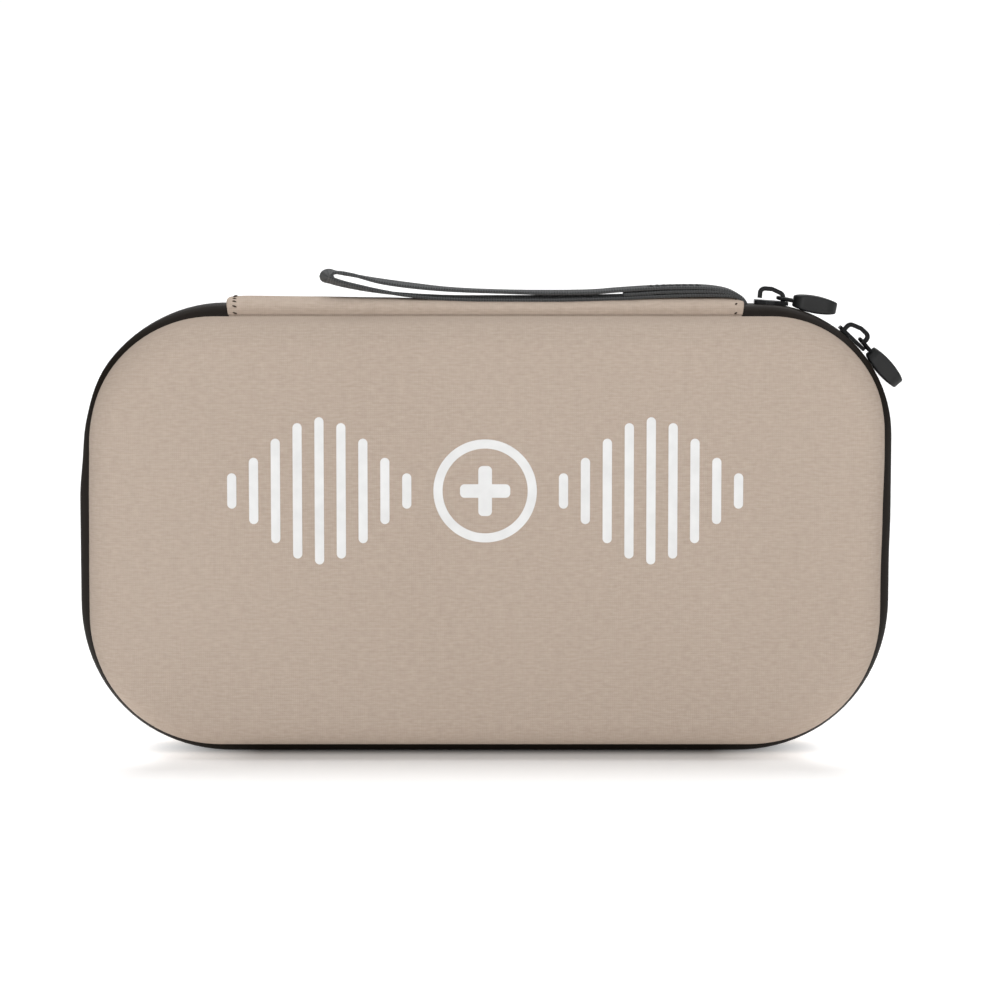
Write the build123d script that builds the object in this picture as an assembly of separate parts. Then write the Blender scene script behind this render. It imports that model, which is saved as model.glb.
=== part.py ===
from build123d import *
import os
from math import degrees, pi, sin, sqrt

# Zipped clamshell hard case.  Millimetres and degrees.
# +X is the case's right as seen from the front, +Y runs into the depth and +Z is up.
# The origin is the centre of the face that the closed case stands on.
# The parting plane is Y = 0; "depth" below is the distance from it, towards the front or the rear.

# ---------------------------------------------------------------- driving dimensions
# zipper band, the outermost ring
band_length = 280.0
band_height = 154.6
corner_left = 50.0            # upper left
corner_right = 45.0           # upper right, fuller because the sliders pull the tape out
corner_bottom = 53.0
band_flat_half = 7.0          # half the width of the flat that runs round the band

# moulded halves
case_depth = 58.0
rim_depth = 9.0               # from the parting plane to each rim, and to each fold of the spine
rim_inset = 3.6               # the band stands this far proud of the rims
rim_corner_cut = 3.2          # the rims' corners are tighter than the band's by this much
wall_draft = 5.5
edge_round = 9.0
cover_wall = 0.8
foam_wall = 4.0
lining_wall = 0.6

# binding over each rim, on the inside
binding_wall = 0.6
binding_lap = 6.0             # how far it reaches down the inner wall
binding_margin = 1.3          # cover and foam left bare outside it

# zipper
tape_wall = 1.0
tape_edge = 0.75              # from the parting plane to the tape's inner edge
coil_gap = 0.1                # from the parting plane to the closed coil
coil_width = 2.4
coil_height = 1.5

# spine, the padded strip between the two folds
spine_end_margin = 1.0        # straight band left bare between the spine and the upper left corner
spine_rise = 5.6              # its crest over the folds
fold_clearance = 0.4
spine_base = 0.6              # its underside over the folds
tape_end_gap = 0.4            # between the spine's ends and the tapes

# sliders, two alike, on the upper right corner
slider_length = 11.6
slider_width = 9.0
slider_tail_width = 6.4
slider_plate = 1.2
slider_clearance = 0.25
slider_neck_length = 4.0
slider_neck_width = 0.9
slider_flange = 1.1
slider_corner = 0.9
upper_slider_angle = 4.3      # clockwise from the top of the corner
lower_slider_angle = 43.3
upper_travel_back = 2.0       # degrees along the corner
lower_travel_on = 33.0

# bridge on each slider and the pull that hangs in it
bridge_rise = 4.8
bridge_wall = 1.5
bridge_width = 2.4
bridge_reach = 4.0            # from the slider's middle to each end of the bridge
bridge_mouth = 0.7            # opening under the bridge's free tip
bridge_bend = 1.7
pull_pivot_reach = 2.35       # from the slider's middle to the pull's pivot
pull_pivot_rise = 1.15        # over the slider's plate
link_wire = 1.3
link_width = 4.8              # between the wire's centres
link_length = 5.2             # from the pivot to the grip
pull_dip = 6.0                # the pull lies this much below the tangent
grip_length = 15.2
grip_width = 8.6
grip_height = 5.9
grip_end_height = 3.8
grip_soften = 0.7

# wrist strap, a flat webbing loop lying on the spine
webbing = 1.4
webbing_width = 10.0
strap_rest_gap = 0.3
strap_end_margin = 4.4        # from the spine's right end back to the strap's pivot
strap_length = 141.0          # from the pivot to the loop's far end
strap_tail_length = 34.6      # doubled and sewn together
strap_tail_height = 4.4
strap_loop_height = 5.4       # of the loop's far end
strap_lift = 4.7              # the loop's far end over the lower strand
strap_hanging = 27.4          # how much of the lower strand is off the spine
strap_parted = 68.4           # how much of the upper strand is off the lower one
strap_slope = 0.22            # fall of both strands at the loop's far end

# inside the front half
pocket_top = 96.0
pocket_net = 0.6
pocket_hem_height = 12.0
pocket_hem_wall = 1.6
pocket_clearance = 0.25

# inside the rear half
band_middle = 76.0
holding_band_height = 20.0
holding_band_span = 190.0
holding_band_rise = 7.0
holding_band_wall = 1.0
patch_length = 13.0
patch_margin = 2.0
patch_wall = 0.8

# decoration printed on the front cover
ink = 0.15
print_centre = 93.0
print_stroke = 3.1
ring_outer = 17.5
plus_span = 17.0
plus_arm = 4.6
bars_each_side = 9
bar_pitch = 7.4
bar_start = 26.5              # from the ring's centre to the first bar
bar_half_low = 4.0
bar_half_high = 25.0

# ---------------------------------------------------------------- derived values
half_depth = case_depth / 2
fold_height = band_height - rim_inset
spine_length = band_length - 2 * (corner_left + spine_end_margin)
strap_pivot_x = spine_length / 2 - strap_end_margin
strap_tail_start = strap_pivot_x - strap_tail_length
strap_left = strap_pivot_x - strap_length
strap_waist = strap_left + strap_parted
wall_stack = cover_wall + foam_wall + lining_wall
floor_depth = half_depth - wall_stack          # inner face of a half's lining
corner_x = band_length / 2 - corner_right      # centre of the upper right corner
corner_z = band_height - corner_right
tape_inside = corner_right - tape_wall
coil_inside = tape_inside - coil_height
parts = {}


# ---------------------------------------------------------------- shared forms
def outline(inset, corner_cut=0.0):
    """Face of the case's outline, inset from the band, with corners tighter by corner_cut."""
    cut = inset + corner_cut
    plate = Pos(0, band_height / 2) * Rectangle(band_length - 2 * inset, band_height - 2 * inset)
    plate = fillet(plate.vertices().group_by(Axis.Y)[-1].sort_by(Axis.X)[0], corner_left - cut)
    plate = fillet(plate.vertices().group_by(Axis.Y)[-1].sort_by(Axis.X)[-1], corner_right - cut)
    return fillet(plate.vertices().group_by(Axis.Y)[0], corner_bottom - cut)


def at_depth(face, depth):
    """The face stood upright at this depth in the front half."""
    return Plane.XZ.offset(depth) * face


def rim_outline(inset):
    return outline(rim_inset + inset, rim_corner_cut)


def half_form(inset):
    """Solid bowl form of the front half, from its rim to its face, inset all over."""
    depth = half_depth - rim_depth - inset
    form = extrude(at_depth(rim_outline(inset), rim_depth), amount=depth, taper=wall_draft)
    return fillet(form.faces().sort_by(Axis.Y)[0].edges(), edge_round - inset)


def slab(depth_from, depth_to):
    """Everything in the front half between two depths."""
    return Pos(0, -(depth_from + depth_to) / 2, band_height / 2) * Box(
        2 * band_length, depth_to - depth_from, 2 * band_height)


def hinge_notch():
    """Room for the spine: the stretch of the band's top that it takes the place of."""
    reach = 2 * rim_inset
    return Pos(0, 0, band_height) * Box(spine_length + 2 * tape_end_gap, case_depth, 2 * reach)


def corner_sector(inner, outer, start, end, half_width):
    """Block that follows the upper right corner from one clockwise angle to another."""
    top = 90
    arcs = [CenterArc((corner_x, corner_z), radius, top - end, end - start) for radius in (inner, outer)]
    sides = [Line(arcs[0] @ 0, arcs[1] @ 0), Line(arcs[0] @ 1, arcs[1] @ 1)]
    face = make_face(Curve() + arcs + sides)
    return extrude(Plane.XZ * face, amount=half_width, both=True)


# ---------------------------------------------------------------- the two halves
def make_tape():
    """Woven tape: a flat round the case with a lip that turns in to the rim."""
    flat = extrude(at_depth(outline(0) - outline(tape_wall), tape_edge), amount=band_flat_half - tape_edge)
    lips = [loft([at_depth(outline(inset), band_flat_half), at_depth(rim_outline(inset), rim_depth)], ruled=True)
            for inset in (0, tape_wall)]
    return flat + (lips[0] - lips[1]) - hinge_notch()


def parted_stretch():
    """Where the sliders run, the coil stands open as far as the tape's edges."""
    margin = degrees(slider_length / 2 / corner_right)
    start = upper_slider_angle - upper_travel_back - margin
    end = lower_slider_angle + lower_travel_on + margin
    return corner_sector(coil_inside - coil_height, corner_right, start, end, tape_edge)


def make_coil():
    """Coil sewn to the inside of the tape, along its edge."""
    ring = outline(tape_wall) - outline(tape_wall + coil_height)
    coil = extrude(at_depth(ring, coil_gap), amount=coil_width)
    return coil - hinge_notch() - parted_stretch()


def make_binding():
    """Folded ribbon that hides the raw rim: a flat on the rim and a lap down the inner wall."""
    edge = rim_depth - binding_wall
    lap = half_form(wall_stack) - half_form(wall_stack + binding_wall)
    lap &= slab(rim_depth, rim_depth + binding_lap)
    flat = extrude(at_depth(rim_outline(binding_margin) - rim_outline(wall_stack + binding_wall), edge),
                   amount=binding_wall)
    return flat + lap


def build_halves():
    forms = [half_form(inset) for inset in (0, cover_wall, cover_wall + foam_wall, wall_stack)]
    layers = {
        "cover": forms[0] - forms[1],
        "shell": forms[1] - forms[2],
        "lining": forms[2] - forms[3],
        "edge_binding": make_binding(),
        "zipper_tape": make_tape(),
        "zipper_coil": make_coil(),
    }
    for name, layer in layers.items():
        parts["front_" + name] = layer
        parts["rear_" + name] = mirror(layer, about=Plane.XZ)


# ---------------------------------------------------------------- spine
def spine_arch(inset):
    """Section of the spine under its crest, in the YZ plane, inset from its outer skin."""
    half = rim_depth - fold_clearance - inset
    base = fold_height + spine_base
    crest = fold_height + spine_rise - inset
    arc = ThreePointArc((-half, base), (0, crest), (half, base))
    return Plane.YZ * make_face(Curve() + [arc, Line((half, base), (-half, base))])


def along_spine(section):
    return extrude(section, amount=spine_length / 2, both=True)


def build_spine():
    outer = along_spine(spine_arch(0))
    inner = along_spine(spine_arch(cover_wall))
    underside = Pos(0, 0, fold_height + spine_base + lining_wall / 2) * Box(
        2 * spine_length, case_depth, lining_wall)
    parts["spine_cover"] = outer - inner
    parts["spine_lining"] = inner & underside
    parts["spine_padding"] = inner - underside
    return outer


# ---------------------------------------------------------------- wrist strap
def strap_face(thinner, right_end):
    """Side face of the loop, drawn in all round by thinner; right_end closes it past the waist."""
    rest = fold_height + spine_rise + strap_rest_gap
    low, high = rest + strap_lift, rest + strap_lift + strap_loop_height
    left = strap_left + strap_loop_height / 2
    falling = [(1, -strap_slope), (1, 0)]
    upper = Spline((left, high - thinner), (strap_waist, rest + 2 * webbing - thinner), tangents=falling)
    lower = Spline((left, low + thinner), (strap_left + strap_hanging, rest + thinner), tangents=falling)
    turn = ThreePointArc(upper @ 0, (strap_left + thinner, (low + high) / 2), lower @ 0)
    lying = Line(lower @ 1, (right_end[-1] @ 1 if right_end else upper @ 1))
    return make_face(Curve() + [turn, upper, lower, lying] + right_end)


def build_strap(spine_outside):
    rest = fold_height + spine_rise + strap_rest_gap
    tail_top = (strap_tail_start, rest + strap_tail_height)
    joined = [Spline((strap_waist, rest + 2 * webbing), tail_top, tangents=[(1, 0), (1, 0)]),
              Line(tail_top, (strap_tail_start, rest))]
    loop = strap_face(0, joined) - strap_face(webbing, [])
    parts["wrist_strap_loop"] = extrude(Plane.XZ * loop, amount=webbing_width / 2, both=True)
    tail_length = strap_pivot_x - strap_tail_start
    tail = Pos(strap_tail_start + tail_length / 2, 0, rest + strap_tail_height / 2) * Box(
        tail_length, webbing_width, strap_tail_height)
    round_end = Rot(90, 0, 0) * Cylinder(strap_tail_height / 2, webbing_width)
    parts["wrist_strap_tail"] = tail + Pos(strap_pivot_x, 0, rest + strap_tail_height / 2) * round_end
    tab_start = strap_pivot_x + strap_tail_height / 2 + strap_rest_gap
    tab_length = spine_length / 2 - tab_start
    tab = Pos(tab_start + tab_length / 2, 0, rest) * Box(tab_length, webbing_width, strap_tail_height)
    parts["strap_anchor_tab"] = tab - spine_outside


# ---------------------------------------------------------------- sliders and pulls
def slider_plan():
    """Plan of a slider's plates: broad shoulders that narrow to the tail."""
    nose, shoulder, tail = -slider_length / 2, -slider_length / 6, slider_length / 2
    half, half_tail = slider_width / 2, slider_tail_width / 2
    right = [(nose, half_tail), (shoulder, half), (shoulder + slider_length / 4, half), (tail, half_tail)]
    left = [(x, -y) for x, y in reversed(right)]
    return fillet(make_face(Polyline(*right, *left, close=True)).vertices(), slider_corner)


def make_slider_body():
    """Plates over and under the chain, joined by a neck, in the slider's own frame.

    There +X runs along the tape, +Z away from it and Z = 0 is the tape's outer face."""
    half = slider_length / 2
    end_drop = coil_inside - sqrt(coil_inside ** 2 - half ** 2)
    lower_face = -(tape_wall + coil_height + slider_clearance + end_drop)
    upper = extrude(Pos(0, 0, slider_clearance) * slider_plan(), amount=slider_plate)
    lower = extrude(Pos(0, 0, lower_face - slider_plate) * slider_plan(), amount=slider_plate)
    tape_face = -(tape_wall + slider_clearance + end_drop)
    between_rails = Rectangle(2 * slider_length, slider_width - 2 * slider_flange)
    rails = extrude(Pos(0, 0, lower_face) * (slider_plan() - between_rails), amount=tape_face - lower_face)
    neck_height = slider_clearance - lower_face
    neck = Pos(-half / 2, 0, lower_face + neck_height / 2) * Box(
        slider_neck_length, slider_neck_width, neck_height)
    return upper + lower + rails + neck


def make_bridge(flip):
    """Arched bar over the slider's plate, rooted at one end and open at its tip."""
    top = slider_clearance + slider_plate
    crown = top + bridge_rise - bridge_wall / 2
    shoulder = crown - bridge_wall
    points = [(bridge_reach, top), (bridge_reach, shoulder), (0, crown), (-bridge_reach, crown),
              (-bridge_reach, top + bridge_mouth)]
    line = Plane.XZ * FilletPolyline(*[(flip * x, z) for x, z in points], radius=bridge_bend)
    section = Plane(line @ 0, x_dir=(0, 1, 0), z_dir=line % 0) * RectangleRounded(
        bridge_width, bridge_wall, bridge_wall / 4)
    return sweep(section, path=line)


def make_link():
    """Wire loop of the pull; the pivot is at the origin and +X runs out along the pull."""
    half = link_width / 2
    line = FilletPolyline((link_length, -half), (0, -half), (0, half), (link_length, half), radius=link_wire)
    section = Plane(line @ 0, z_dir=line % 0) * Circle(link_wire / 2)
    return sweep(section, path=line)


def make_grip():
    """Moulded oval grip, thickest in its middle, with a flat end."""
    end, middle = link_length + grip_length, link_length + grip_length / 2
    half_end, half = grip_end_height / 2, grip_height / 2
    side = make_face(Curve() + [
        ThreePointArc((link_length, half_end), (middle, half), (end, half_end)),
        Line((end, half_end), (end, -half_end)),
        ThreePointArc((end, -half_end), (middle, -half), (link_length, -half_end)),
        Line((link_length, -half_end), (link_length, half_end)),
    ])
    block = extrude(Plane.XZ * side, amount=grip_width / 2, both=True)
    plan = Pos(middle, 0) * RectangleRounded(grip_length, grip_width, grip_width / 2 - grip_soften)
    oval = block & extrude(plan, amount=grip_height, both=True)
    return fillet(oval.edges().filter_by(lambda edge: edge.length > grip_soften), grip_soften)


def build_slider(name, angle, flip):
    on_corner = Pos(corner_x, 0, corner_z) * Rot(0, angle, 0) * Pos(0, 0, corner_right)
    pivot = on_corner * Pos(pull_pivot_reach, 0, slider_clearance + slider_plate + pull_pivot_rise)
    lying = pivot * Rot(0, pull_dip, 0)
    parts[name + "_slider_body"] = on_corner * make_slider_body()
    parts[name + "_slider_bridge"] = on_corner * make_bridge(flip)
    parts[name + "_pull_link"] = lying * make_link()
    parts[name + "_pull_grip"] = lying * make_grip()
    print(name, "pull pivot", [round(value, 3) for value in pivot.position])


# ---------------------------------------------------------------- fittings inside
def build_pocket():
    """Net pocket across the lower part of the front half, with an elastic hem."""
    inset = wall_stack + binding_wall + pocket_clearance
    below_hem = Pos(0, (pocket_top - pocket_hem_height) / 2) * Rectangle(
        2 * band_length, pocket_top - pocket_hem_height)
    hem_zone = Pos(0, pocket_top - pocket_hem_height / 2) * Rectangle(2 * band_length, pocket_hem_height)
    net = rim_outline(inset) & below_hem
    hem = rim_outline(inset) & hem_zone
    parts["mesh_pocket_net"] = extrude(at_depth(net, rim_depth), amount=pocket_net)
    parts["mesh_pocket_hem"] = extrude(at_depth(hem, rim_depth), amount=pocket_hem_wall)


def build_holding_band():
    """Elastic band arched over the rear half's floor, sewn down under a patch at each end."""
    half = holding_band_span / 2
    inner_rise = holding_band_rise - holding_band_wall
    outer = ThreePointArc((-half, floor_depth), (0, floor_depth - holding_band_rise), (half, floor_depth))
    reach = half - holding_band_wall * half / holding_band_rise
    inner = ThreePointArc((-reach, floor_depth), (0, floor_depth - inner_rise), (reach, floor_depth))
    feet = [Line(inner @ end, outer @ end) for end in (0, 1)]
    face = make_face(Curve() + [outer, inner] + feet)
    band = extrude(Pos(0, 0, band_middle) * face, amount=holding_band_height / 2, both=True)
    parts["holding_band"] = band
    patches = []
    for side in (-1, 1):
        middle = side * (half + patch_length / 2)
        patches.append(Pos(middle, floor_depth - patch_wall / 2, band_middle) * Box(
            patch_length, patch_wall, holding_band_height + 2 * patch_margin))
    parts["holding_band_patches"] = Compound(children=patches)


# ---------------------------------------------------------------- printed decoration
def bar_half(index):
    """Half the length of a bar: a smooth swell along each side."""
    phase = pi * (index + 1) / (bars_each_side + 1)
    return bar_half_low + (bar_half_high - bar_half_low) * sin(phase) ** 2


def build_print():
    shapes = [Circle(ring_outer) - Circle(ring_outer - print_stroke)]
    shapes.append(RectangleRounded(plus_span, plus_arm, plus_arm / 3)
                  + RectangleRounded(plus_arm, plus_span, plus_arm / 3))
    for side in (-1, 1):
        for index in range(bars_each_side):
            x = side * (bar_start + bar_pitch * index)
            shapes.append(Pos(x, 0) * SlotOverall(2 * bar_half(index), print_stroke, rotation=90))
    inked = [extrude(at_depth(Pos(0, print_centre) * shape, half_depth), amount=ink) for shape in shapes]
    parts["front_print"] = Compound(children=[solid for piece in inked for solid in piece.solids()])


# ---------------------------------------------------------------- the whole case
build_halves()
spine_outside = build_spine()
build_strap(spine_outside)
build_slider("upper", upper_slider_angle, 1)
build_slider("lower", lower_slider_angle, -1)
build_pocket()
build_holding_band()
build_print()

os.makedirs("parts", exist_ok=True)
for node, shape in parts.items():
    shape.label = node
    export_step(shape, os.path.join("parts", node + ".step"))
print(len(parts), "nodes")
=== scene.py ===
import math

import bmesh
import bpy
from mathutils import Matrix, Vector
from mathutils.bvhtree import BVHTree


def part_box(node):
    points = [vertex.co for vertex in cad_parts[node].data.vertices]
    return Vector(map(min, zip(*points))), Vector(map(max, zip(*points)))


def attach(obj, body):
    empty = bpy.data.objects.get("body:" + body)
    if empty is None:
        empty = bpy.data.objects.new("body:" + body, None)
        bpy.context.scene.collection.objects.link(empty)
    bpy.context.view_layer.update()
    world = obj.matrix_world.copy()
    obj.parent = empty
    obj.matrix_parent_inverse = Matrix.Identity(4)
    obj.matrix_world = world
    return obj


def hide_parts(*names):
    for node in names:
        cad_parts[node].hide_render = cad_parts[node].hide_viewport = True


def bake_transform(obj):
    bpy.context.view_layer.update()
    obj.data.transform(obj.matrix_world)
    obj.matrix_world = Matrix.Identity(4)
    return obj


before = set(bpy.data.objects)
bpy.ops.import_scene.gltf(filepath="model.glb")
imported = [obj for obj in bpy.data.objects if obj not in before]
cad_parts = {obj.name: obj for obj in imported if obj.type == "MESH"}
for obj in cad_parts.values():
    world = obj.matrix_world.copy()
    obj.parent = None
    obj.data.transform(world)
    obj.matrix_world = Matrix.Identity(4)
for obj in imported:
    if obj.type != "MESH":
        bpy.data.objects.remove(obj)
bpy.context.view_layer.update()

MM = 0.001

# ---------------------------------------------------------------- sizes, from the frame and in metres
_, band_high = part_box("front_zipper_tape")
cover_low, cover_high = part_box("front_cover")
spine_low, spine_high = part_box("spine_cover")
BAND_HALF = band_high.x
BAND_TOP = band_high.z
RIM_DEPTH = -cover_high.y
FACE_DEPTH = -cover_low.y
RIM_INSET = BAND_HALF - cover_high.x
SPINE_HALF = spine_high.x
FOLD_HEIGHT = cover_high.z
CORNER_LEFT = 50 * MM
CORNER_RIGHT = 45 * MM
CORNER_BOTTOM = 53 * MM
RIM_CORNER_CUT = 3.2 * MM
TAPE_EDGE = -band_high.y
TAPE_WALL = 1 * MM
TAPE_GAP = 0.1 * MM
WALL_DRAFT = math.radians(5.5)
EDGE_ROUND = 9 * MM
COVER_WALL = 0.8 * MM
FOAM_WALL = 4 * MM
LINING_WALL = 0.6 * MM
WALL_STACK = COVER_WALL + FOAM_WALL + LINING_WALL
BINDING_WALL = 0.6 * MM
BINDING_LAP = 6 * MM
BINDING_MARGIN = 0.5 * MM
FACE_CROWN = 0.7 * MM
FRONT, REAR = -1, 1


# ---------------------------------------------------------------- meshes
def lattice(name, rows, wrap=False, caps=False, uv=None):
    """Mesh through rows of points; wrap joins each row's ends, caps close the first and last row."""
    count = len(rows[0])
    points = [point for row in rows for point in row]
    spans = count if wrap else count - 1
    faces, corners = [], []
    for i in range(len(rows) - 1):
        for j in range(spans):
            k = (j + 1) % count
            faces.append((i * count + j, i * count + k, (i + 1) * count + k, (i + 1) * count + j))
            corners.append(((i, j), (i, j + 1), (i + 1, j + 1), (i + 1, j)))
    if caps:
        last = len(rows) - 1
        faces.append(tuple(range(count - 1, -1, -1)))
        corners.append(tuple((0, j) for j in range(count - 1, -1, -1)))
        faces.append(tuple(last * count + j for j in range(count)))
        corners.append(tuple((last, j) for j in range(count)))
    piece = add_mesh(name, points, faces)
    if uv:
        layer = piece.data.uv_layers.new(name="weave")
        for loop, (i, j) in enumerate(corner for face in corners for corner in face):
            layer.data[loop].uv = uv(i, j)
    return piece


def add_object(name, data):
    thing = bpy.data.objects.new(name, data)
    bpy.context.scene.collection.objects.link(thing)
    return thing


def add_mesh(name, vertices, faces):
    mesh = bpy.data.meshes.new(name)
    mesh.from_pydata([tuple(point) for point in vertices], [], faces)
    mesh.update()
    return add_object(name, mesh)


def rework(piece, change):
    """Run one change on a piece's mesh."""
    work = bmesh.new()
    work.from_mesh(piece.data)
    change(work)
    work.to_mesh(piece.data)
    work.free()


def face_outwards(piece):
    """Make every face of a closed piece look outwards."""
    rework(piece, lambda work: bmesh.ops.recalc_face_normals(work, faces=work.faces))


def smooth(piece, angle=35):
    """Shade smooth, with edges sharper than the angle kept."""
    piece.data.polygons.foreach_set("use_smooth", [True] * len(piece.data.polygons))
    piece.data.set_sharp_from_angle(angle=math.radians(angle))


def clothe(piece, material):
    """Turn a closed piece's faces outwards, smooth it and give it its material."""
    face_outwards(piece)
    smooth(piece)
    piece.data.materials.clear()
    piece.data.materials.append(material)


def finish_piece(piece, material, body, *replaced):
    clothe(piece, material)
    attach(piece, body)
    if replaced:
        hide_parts(*replaced)
    return piece


def path_lengths(points, size=2):
    """Length of a path up to each of its points, over their first numbers."""
    run = [0.0]
    for a, b in zip(points, points[1:]):
        run.append(run[-1] + math.dist(a[:size], b[:size]))
    return run


# ---------------------------------------------------------------- the case's outline
ARC_STEPS, TOP_STEPS, SIDE_STEPS, BOTTOM_STEPS = 24, 24, 14, 40


def outline(inset, corner_cut=0.0, notch=0.0):
    """Clockwise points (x, z) with outward normals round the case, from the top's middle or a notch in it.

    Every inset gives the same number of points."""
    half, low, high = BAND_HALF - inset, inset, BAND_TOP - inset
    left, right, bottom = (radius - inset - corner_cut
                           for radius in (CORNER_LEFT, CORNER_RIGHT, CORNER_BOTTOM))
    points = []

    def straight(start, end, normal, steps):
        for step in range(steps):
            share = step / steps
            x, z = (a + share * (b - a) for a, b in zip(start, end))
            points.append((x, z, *normal))

    def turn(x, z, radius, angle):
        for step in range(ARC_STEPS):
            now = math.radians(angle - 90 * step / ARC_STEPS)
            nx, nz = math.cos(now), math.sin(now)
            points.append((x + radius * nx, z + radius * nz, nx, nz))

    straight((notch, high), (half - right, high), (0, 1), TOP_STEPS)
    turn(half - right, high - right, right, 90)
    straight((half, high - right), (half, low + bottom), (1, 0), SIDE_STEPS)
    turn(half - bottom, low + bottom, bottom, 0)
    straight((half - bottom, low), (bottom - half, low), (0, -1), BOTTOM_STEPS)
    turn(bottom - half, low + bottom, bottom, -90)
    straight((-half, low + bottom), (-half, high - left), (-1, 0), SIDE_STEPS)
    turn(left - half, high - left, left, -180)
    straight((left - half, high), (-notch, high), (0, 1), TOP_STEPS)
    if notch:
        points.append((-notch, high, 0, 1))
    share = min(1.0, inset / RIM_INSET)
    eased_points = []
    for x, z, nx, nz in points:
        out = ease_out(x, z, nx, nz, share) * MM
        eased_points.append((x + out * nx, z + out * nz, nx, nz))
    return eased_points


# how far the sewn shape stands out from the drawn one, in millimetres: height and amount, first at the
# band and then at the rim
LEFT_EASE = ([(60, 0), (88, 0), (108, -1.4), (116, -1.4), (136, 0)],
             [(60, 0), (88, -0.2), (108, -0.5), (136, 0)])
RIGHT_EASE = ([(0, 0), (40, -0.45), (66, -0.4), (84, 0), (110, 0)],
              [(0, 0), (40, -0.3), (62, -0.25), (84, 0.2), (104, 0.65), (122, 0.5), (142, 0)])
LEFT_TOP_EASE, RIGHT_TOP_EASE = 0.5, 0.25
BOTTOM_LEFT_EASE, BOTTOM_RIGHT_EASE = (0.95, 0.50), (0.45, 0.30)


def ease_out(x, z, nx, nz, share):
    """Outward ease at a point, from the band's at share 0 to the rim's at share 1."""
    if x < 0:
        band, rim = (eased(table, z / MM) * max(0.0, -nx) for table in LEFT_EASE)
        corner = BOTTOM_LEFT_EASE
    else:
        band, rim = (eased(table, z / MM) * max(0.0, nx) for table in RIGHT_EASE)
        corner = BOTTOM_RIGHT_EASE
    band += (LEFT_TOP_EASE if x < 0 else RIGHT_TOP_EASE) * max(0.0, nz) ** 6 * (1 if z > BAND_TOP / 2 else 0)
    if nz < 0:
        swell = (2 * abs(nx * nz)) ** 1.5
        band, rim = band + swell * corner[0], rim + swell * corner[1]
    return band + share * (rim - band)


def eased(points, at):
    """Value of a line through points, eased from one to the next."""
    for (x0, y0), (x1, y1) in zip(points, points[1:]):
        if at <= x1:
            share = max(0.0, (at - x0) / (x1 - x0))
            return y0 + share * share * (3 - 2 * share) * (y1 - y0)
    return points[-1][1]


def rim_outline(inset, notch=0.0):
    return outline(RIM_INSET + inset, RIM_CORNER_CUT, notch)


class Nodes:
    """A node tree, with short calls for the nodes that the materials and the world share."""

    def __init__(self, tree):
        self.tree = tree

    def node(self, kind, **settings):
        made = self.tree.nodes.new(kind)
        for key, value in settings.items():
            setattr(made, key, value)
        return made

    def put(self, socket, value):
        if isinstance(value, bpy.types.NodeSocket):
            self.tree.links.new(value, socket)
        elif isinstance(value, tuple) and len(value) == 3 and socket.type == "RGBA":
            socket.default_value = (*value, 1)
        else:
            socket.default_value = value

    def math(self, operation, a, b=0.0):
        made = self.node("ShaderNodeMath", operation=operation)
        self.put(made.inputs[0], a)
        self.put(made.inputs[1], b)
        return made.outputs[0]

    def coordinates(self, source="UV", scale=(1, 1, 1)):
        made = self.node("ShaderNodeTexCoord")
        mapping = self.node("ShaderNodeMapping")
        mapping.inputs["Scale"].default_value = scale
        self.tree.links.new(made.outputs[source], mapping.inputs["Vector"])
        return mapping.outputs[0]

    def noise(self, vector, scale, detail=2.0):
        made = self.node("ShaderNodeTexNoise")
        self.put(made.inputs["Vector"], vector)
        self.put(made.inputs["Scale"], scale)
        self.put(made.inputs["Detail"], detail)
        return made.outputs["Fac"]

    def wave(self, coordinate, period):
        """Sine from 0 to 1 along a coordinate in metres."""
        phase = self.math("MULTIPLY", coordinate, 2 * math.pi / period)
        return self.math("MULTIPLY", self.math("ADD", self.math("SINE", phase), 1.0), 0.5)

    def total(self, *terms):
        """Sum of values, each times its share."""
        whole = None
        for value, share in terms:
            part = value if share == 1 else self.math("MULTIPLY", value, share)
            whole = part if whole is None else self.math("ADD", whole, part)
        return whole

    def split(self, vector):
        made = self.node("ShaderNodeSeparateXYZ")
        self.put(made.inputs[0], vector)
        return made.outputs

    def remap(self, value, low, high, to_low, to_high):
        made = self.node("ShaderNodeMapRange")
        for socket, number in zip(made.inputs, (value, low, high, to_low, to_high)):
            self.put(socket, number)
        return made.outputs[0]

    def blend(self, factor, first, second):
        made = self.node("ShaderNodeMix", data_type="RGBA")
        self.put(made.inputs["Factor"], factor)
        self.put(made.inputs["A"], first)
        self.put(made.inputs["B"], second)
        return made.outputs["Result"]

    def bump(self, height, distance, strength):
        made = self.node("ShaderNodeBump")
        self.put(made.inputs["Height"], height)
        self.put(made.inputs["Distance"], distance)
        self.put(made.inputs["Strength"], strength)
        return made.outputs[0]


class Shader(Nodes):
    """A material and its node tree."""

    def __init__(self, name, slot):
        self.material = bpy.data.materials.new(name)
        self.material.use_nodes = True
        super().__init__(self.material.node_tree)
        self.surface = self.tree.nodes["Principled BSDF"]

    def set(self, **values):
        for name, value in values.items():
            self.put(self.surface.inputs[name.replace("_", " ")], value)


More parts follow.
